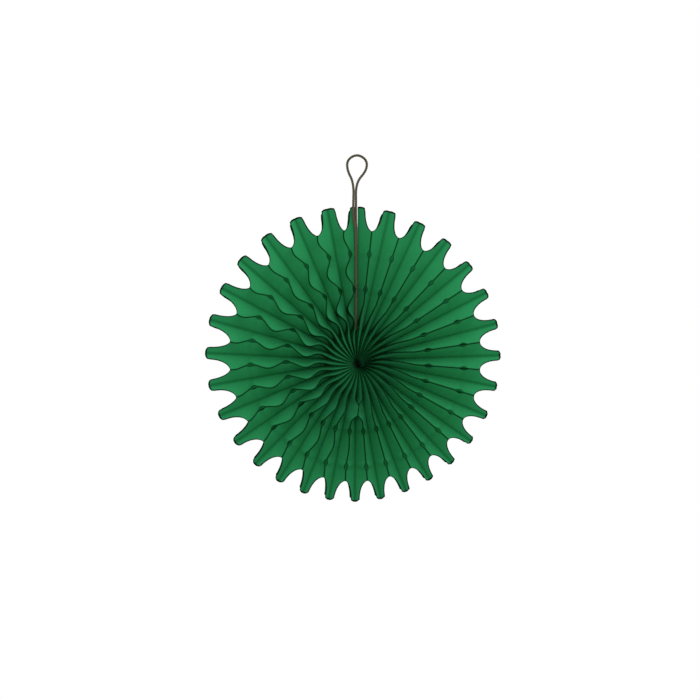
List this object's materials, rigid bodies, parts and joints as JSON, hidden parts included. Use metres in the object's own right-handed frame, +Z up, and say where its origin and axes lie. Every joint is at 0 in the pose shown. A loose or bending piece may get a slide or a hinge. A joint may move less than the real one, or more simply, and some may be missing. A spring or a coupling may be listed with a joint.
{
  "type": "paper fan medallion",
  "caption": "Round hanging decoration of green tissue paper: honeycomb cells open into a toothed fan disc, hung by a cord loop at the top",
  "frame": {"origin": "inside top of the cord loop, where a hook holds it", "axes": "+Z up, the open face looks along -Y, +X to the viewer's right, the disc lies in the XZ plane"},
  "size_m": [0.3303, 0.05, 0.3892],
  "materials": {
    "tissue": "matte dyed tissue paper",
    "cord": "matte twisted brown twine"
  },
  "bodies": {
    "root": {"end_sheet_left": "tissue", "tissue_leaf_01": "tissue", "tissue_leaf_02": "tissue", "tissue_leaf_03": "tissue", "tissue_leaf_04": "tissue", "tissue_leaf_05": "tissue", "tissue_leaf_06": "tissue", "tissue_leaf_07": "tissue", "tissue_leaf_08": "tissue", "tissue_leaf_09": "tissue", "tissue_leaf_10": "tissue", "tissue_leaf_11": "tissue", "tissue_leaf_12": "tissue", "tissue_leaf_13": "tissue", "tissue_leaf_14": "tissue", "tissue_leaf_15": "tissue", "tissue_leaf_16": "tissue", "tissue_leaf_17": "tissue", "tissue_leaf_18": "tissue", "tissue_leaf_19": "tissue", "tissue_leaf_20": "tissue", "tissue_leaf_21": "tissue", "tissue_leaf_22": "tissue", "tissue_leaf_23": "tissue", "tissue_leaf_24": "tissue", "tissue_leaf_25": "tissue", "tissue_leaf_26": "tissue", "tissue_leaf_27": "tissue", "tissue_leaf_28": "tissue", "tissue_leaf_29": "tissue", "end_sheet_right": "tissue", "hanging_cord": "cord"}
  },
  "joints": []
}
